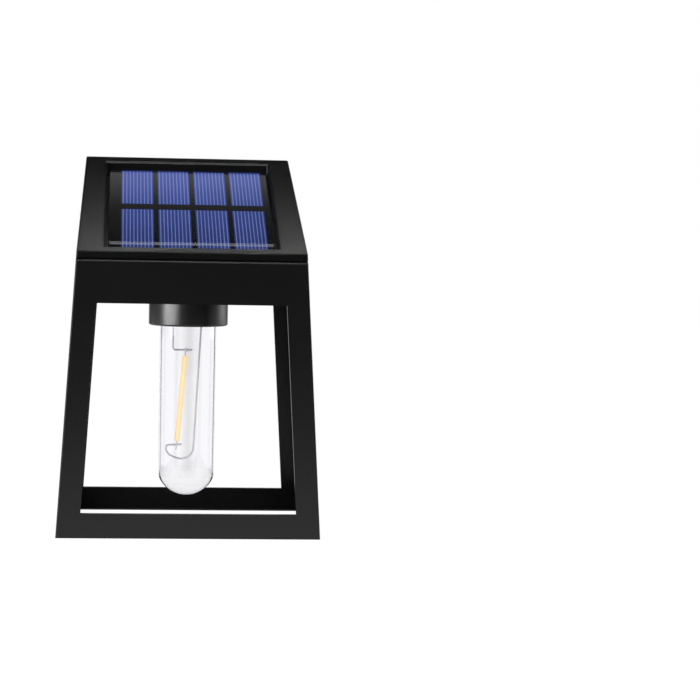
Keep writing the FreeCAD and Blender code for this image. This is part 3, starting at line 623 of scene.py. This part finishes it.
def makeDomeGlowSheet(values):
    # grey sheet with a painted glow inside the tube's rounded end, whitening the dome, thinning out upwards
    low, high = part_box("lamp_tube")
    inset, gap = clearTubeShape["wall"] + values["gap"], values["gap"]
    radius, dome, bottom = high.x - inset, clearTubeShape["dome"] - inset, low.z + inset
    profile = capProfile(radius, dome, bottom, clearTubeShape["steps"])
    profile += [(radius, values["top"]), (radius - gap, values["top"])]
    profile += capProfile(radius - gap, dome - gap, bottom + gap, clearTubeShape["steps"])[::-1]
    glowFilm = turnedObject("tubeHaze", profile, clearTubeShape["segments"])
    height = values["top"] - bottom
    glowFilm.data.materials.append(filmMaterial(values, (0, 0, 1), bottom, height - values["fade"], height))
    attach(glowFilm, "lantern")


# painted shade inside the clear tube
tubeShade = {
    "name": "greyBand", "color": (0.02, 0.02, 0.022), "roughness": 0.6, "specular": 0.0, "cover": 0.19,
    "glowColor": (1.0, 1.0, 1.0), "glow": 0.0, "half": 4.3 * mm, "middle": 0.9 * mm, "gap": 0.15 * mm,
    "low": 18.0 * mm, "steps": 16}


def makeTubeShade(values):
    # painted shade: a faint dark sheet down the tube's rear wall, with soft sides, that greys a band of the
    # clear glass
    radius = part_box("lamp_tube")[1].x - clearTubeShape["wall"] - values["gap"]
    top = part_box("collar")[0].z
    edges = []
    for i in range(values["steps"] + 1):
        x = values["middle"] + values["half"] * (2 * i / values["steps"] - 1)
        y = math.sqrt(radius ** 2 - x ** 2)
        edges.append(((x, y, values["low"]), (x, y, top)))
    shade = stripObject("tubeShade", edges)
    shade.data.shade_smooth()
    shade.data.materials.append(filmMaterial(values, (1, 0, 0), values["middle"], 0.0, values["half"]))
    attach(shade, "lantern")


collarShape = {"round": 0.9 * mm, "bore": 0.2 * mm, "passage": 2.0 * mm, "segments": 128, "steps": 6}


def makeCollar(values):
    # cup with a rounded foot and lip, a seat over the tube's end and a passage for the wires
    low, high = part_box("collar")
    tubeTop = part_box("lamp_tube")[1]
    edge, bore, seat = values["round"], tubeTop.x + values["bore"], tubeTop.z + values["bore"]
    foot = arcPoints((high.x - edge, low.z + edge), edge, -90, 0, values["steps"])
    lip = arcPoints((bore + edge / 2, low.z + edge / 2), edge / 2, -180, -90, values["steps"])
    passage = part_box("lamp_wires")[1].x + values["passage"]
    profile = foot + [(high.x, high.z), (passage, high.z), (passage, seat), (bore, seat)] + lip
    collar = turnedObject("collarCup", profile, values["segments"])
    collar.data.materials.append(skinMaterial(glossBlack))
    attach(collar, "lantern")
    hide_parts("collar")


makeLampTube(clearTubeShape)
makeDomeGlowSheet(tubeHaze)
makeTubeShade(tubeShade)
makeCollar(collarShape)
print("lamp turned")


# soft edges on the mouldings, which arrive with split corners

softEdges = {"body_frame": 0.3 * mm, "lid": 0.2 * mm, "tray": 0.2 * mm}
edgeWork = {"weld": 0.005 * mm, "segments": 2, "angle": 30, "evenWeight": 100}


def softenEdges(name, width, values):
    weld = nodes[name].modifiers.new("closeCorners", "WELD")
    weld.merge_threshold = values["weld"]
    bevel = nodes[name].modifiers.new("softEdges", "BEVEL")
    bevel.width = width
    bevel.segments = values["segments"]
    bevel.limit_method = "ANGLE"
    bevel.angle_limit = math.radians(values["angle"])
    evenFlats(nodes[name], values["evenWeight"])


for name, width in softEdges.items():
    softenEdges(name, width, edgeWork)
print("edges softened")


# stage

photoView = {
    "place": (-31.31 * mm, -1044.45 * mm, 141.28 * mm), "turn": (86.4736, -1.1095, -5.5018),
    "lens": 124.05, "sensor": 36.0, "nearest": 0.01, "furthest": 50.0}


def makeCamera(values):
    data = bpy.data.cameras.new("photoCamera")
    data.sensor_width = values["sensor"]
    data.lens = values["lens"]
    data.clip_start = values["nearest"]
    data.clip_end = values["furthest"]
    camera = link(bpy.data.objects.new("photoCamera", data))
    camera.location = values["place"]
    camera.rotation_euler = Euler([math.radians(a) for a in values["turn"]])
    bpy.context.scene.camera = camera


def backdropMask(tree):
    # rays that show the backdrop: to the camera, off gloss and through glass
    path = addNode(tree, "ShaderNodeLightPath")
    seen = addMath(tree, "ADD", path.outputs["Is Camera Ray"], path.outputs["Is Glossy Ray"], clamp=True)
    return addMath(tree, "ADD", seen, path.outputs["Is Transmission Ray"], clamp=True)


studio = {"ambient": 0.35, "floorSize": 6.0, "floorLight": 0.97, "floorShade": 0.1, "bounce": 0.8}


def makeWorld(values):
    world = bpy.data.worlds.new("studioAir")
    bpy.context.scene.world = world
    world.use_nodes = True
    tree = world.node_tree
    back = tree.nodes["Background"]
    setValues(back, Color=(1, 1, 1, 1))
    level = addNode(tree, "ShaderNodeMapRange")
    setValues(level, To_Min=values["ambient"], To_Max=1.0)
    tree.links.new(backdropMask(tree), level.inputs["Value"])
    tree.links.new(level.outputs[0], back.inputs["Strength"])


def makeFloor(values):
    # white by its own colour where it is seen, and still taking the lantern's soft shadow
    half = values["floorSize"] / 2
    floor = stripObject("floor", [((-half, -half, 0), (half, -half, 0)), ((-half, half, 0), (half, half, 0))])
    if floor.data.polygons[0].normal.z < 0:
        floor.data.flip_normals()
    material, tree, shader = newMaterial("paleFloor")
    setValues(shader, Roughness=1.0, Specular_IOR_Level=0.0, Emission_Color=(1, 1, 1, 1))
    mask = backdropMask(tree)
    tone = mixColors(tree, mask, (values["bounce"],) * 3, (values["floorShade"],) * 3)
    tree.links.new(tone, shader.inputs["Base Color"])
    tree.links.new(addMath(tree, "MULTIPLY", mask, values["floorLight"]), shader.inputs["Emission Strength"])
    # seen from below it is clear, so that the underside of the lantern can be looked at
    side = addNode(tree, "ShaderNodeNewGeometry")
    clear = addNode(tree, "ShaderNodeBsdfTransparent")
    mixShaders(tree, side.outputs["Backfacing"], shader, clear)
    floor.data.materials.append(material)


# lamps by place and size in metres; one with "only" lights just the pieces it names
lamps = {
    "keyLamp": {"place": (-0.75, -0.45, 0.6), "aim": (0, 0, 0.1), "width": 0.5, "height": 0.5,
                "radiance": 6.0, "gloss": False},
    "fillLamp": {"place": (0.8, -0.5, 0.5), "aim": (0, 0, 0.1), "width": 0.5, "height": 0.5,
                 "radiance": 2.5, "gloss": False},
    "hoodLamp": {"place": (0.0, 0.11, 0.36), "aim": (0, -0.04, 0.12), "width": 0.3, "height": 0.04,
                 "radiance": 4.5, "gloss": False},
    "collarLamp": {"place": (-0.492, -0.344, 0.14), "aim": (0, 0, 0.09), "width": 0.42, "height": 0.5,
                   "radiance": 12.0, "gloss": True, "only": ["collarCup"]},
    "edgeLamp": {"place": (0.0, -0.25, 0.676), "aim": (0, -0.04, 0.12), "width": 1.2, "height": 0.12,
                 "radiance": 3.6, "gloss": True, "only": ["body_frame", "lid"]},
    "lidLamp": {"place": (0.0, 0.056, 0.286), "aim": (0, -0.03, 0.13), "width": 0.3, "height": 0.06,
                "radiance": 2.0, "gloss": True, "only": ["lid"]}}


def litPieces(name, pieces):
    # collection of the only pieces that the lamp or card lights
    target = bpy.data.collections.new(name + "Target")
    for piece in pieces:
        target.objects.link(bpy.data.objects[piece])
    return target


def makeLamp(name, values):
    data = bpy.data.lights.new(name, "AREA")
    data.shape = "RECTANGLE"
    data.size, data.size_y = values["width"], values["height"]
    data.energy = values["radiance"] * math.pi * values["width"] * values["height"]
    lamp = link(bpy.data.objects.new(name, data))
    lamp.location = values["place"]
    aim = Vector(values["aim"]) - lamp.location
    lamp.rotation_euler = aim.to_track_quat("-Z", "Y").to_euler()
    lamp.visible_camera = False
    lamp.visible_transmission = False
    lamp.visible_glossy = values["gloss"]
    if "only" in values:
        data.cycles.use_multiple_importance_sampling = False
        target = litPieces(name, values["only"])
        lamp.light_linking.receiver_collection = target
        lamp.light_linking.blocker_collection = target


# cards that only gloss sees, and the rear one through glass too: dark ones keep the black mouldings
# black, bright ones put soft lights on the collar, the lid and the cover
# each is a ribbon of edges, shaded along one axis from its first edge to its last by (place, level)
cards = {
    "frontCard": {
        "edges": [((-1.2, -0.3, 0.002), (1.2, -0.3, 0.002)), ((-1.2, -0.9, 0.002), (1.2, -0.9, 0.002)),
                  ((-1.2, -0.9, 1.4), (1.2, -0.9, 1.4))],
        "shades": [(0.0, 0.0), (1.0, 0.0)], "along": "Y"},
    "innerFloorCard": {
        "edges": [((-0.055, -0.046, 0.0006), (0.055, -0.046, 0.0006)),
                  ((-0.055, 0.06, 0.0006), (0.055, 0.06, 0.0006))],
        "shades": [(0.0, 0.0), (1.0, 0.0)], "along": "Y"},
    "rearCard": {
        "edges": [((-1.6, 0.141, 0.323), (1.6, 0.141, 0.323)), ((-1.6, 0.7, 0.6), (1.6, 0.7, 0.6)),
                  ((-1.6, 1.3, 0.42), (1.6, 1.3, 0.42))],
        "shades": [(0.0, 0.0), (0.055, 0.07), (0.115, 0.48), (0.145, 0.25), (0.18, 0.0), (1.0, 0.0)],
        "along": "Y", "glass": True, "only": ["panelCover"]},
    "roofCard": {
        "edges": [((-1.0, 0.22, 0.45), (1.0, 0.22, 0.45)), ((-1.0, -0.3, 0.7), (1.0, -0.3, 0.7)),
                  ((-1.0, -0.9, 1.4), (1.0, -0.9, 1.4))],
        "shades": [(0.0, 0.0), (0.3, 0.0), (0.42, 0.8), (0.54, 0.0), (1.0, 0.0)], "along": "Y"},
    "browCard": {
        "edges": [((-1.0, -0.85, 0.98), (1.0, -0.85, 0.98)), ((-1.0, -0.85, 1.16), (1.0, -0.85, 1.16))],
        "shades": [(0.0, 0.0), (0.5, 4.0), (1.0, 0.0)], "along": "Z"},
    "leftCard": {
        "edges": [((-0.5, 0.9, 0.0), (-0.5, 0.9, 0.8)), ((-0.95, 0.32, 0.0), (-0.95, 0.32, 0.8)),
                  ((-0.42, -0.86, 0.0), (-0.42, -0.86, 0.8))],
        "shades": [(0.0, 0.1), (0.33, 0.0), (0.5, 0.1), (0.68, 6.0), (0.85, 1.4), (1.0, 0.0)], "along": "Y"},
    "rightCard": {
        "edges": [((1.0, -0.85, 0.0), (1.0, -0.85, 0.8)), ((0.9, -0.25, 0.0), (0.9, -0.25, 0.8)),
                  ((0.7, 0.75, 0.0), (0.7, 0.75, 0.8))],
        "shades": [(0.0, 0.0), (0.42, 0.0), (0.54, 0.9), (0.7, 4.3), (1.0, 0.6)], "along": "Y"}}


def makeCard(name, values):
    card = stripObject(name, values["edges"])
    material, tree, shader = newMaterial(name)
    along = addNode(tree, "ShaderNodeMapRange")
    axis = "XYZ".index(values["along"])
    setValues(along, From_Min=values["edges"][0][0][axis], From_Max=values["edges"][-1][0][axis])
    tree.links.new(objectPlace(tree)[values["along"]], along.inputs["Value"])
    brightest = max(level for _, level in values["shades"])
    ramp = addNode(tree, "ShaderNodeValToRGB")
    ramp.color_ramp.interpolation = "EASE"
    for place, _ in values["shades"][2:]:
        ramp.color_ramp.elements.new(place)
    for stop, (place, level) in zip(ramp.color_ramp.elements, values["shades"]):
        stop.position = place
        stop.color = (level / (brightest or 1),) * 3 + (1,)
    tree.links.new(along.outputs[0], ramp.inputs[0])
    tree.links.new(ramp.outputs["Color"], shader.inputs["Emission Color"])
    setValues(shader, Base_Color=(0, 0, 0, 1), Roughness=1.0, Specular_IOR_Level=0.0,
              Emission_Strength=brightest)
    card.data.materials.append(material)
    for ray in ("camera", "diffuse", "volume_scatter", "shadow"):
        setattr(card, "visible_" + ray, False)
    card.visible_transmission = values.get("glass", False)
    if "only" in values:
        card.light_linking.receiver_collection = litPieces(name, values["only"])


makeCamera(photoView)
makeWorld(studio)
makeFloor(studio)
for name, values in lamps.items():
    makeLamp(name, values)
for name, values in cards.items():
    makeCard(name, values)
bpy.context.scene.view_settings.view_transform = "Standard"
print("stage set")
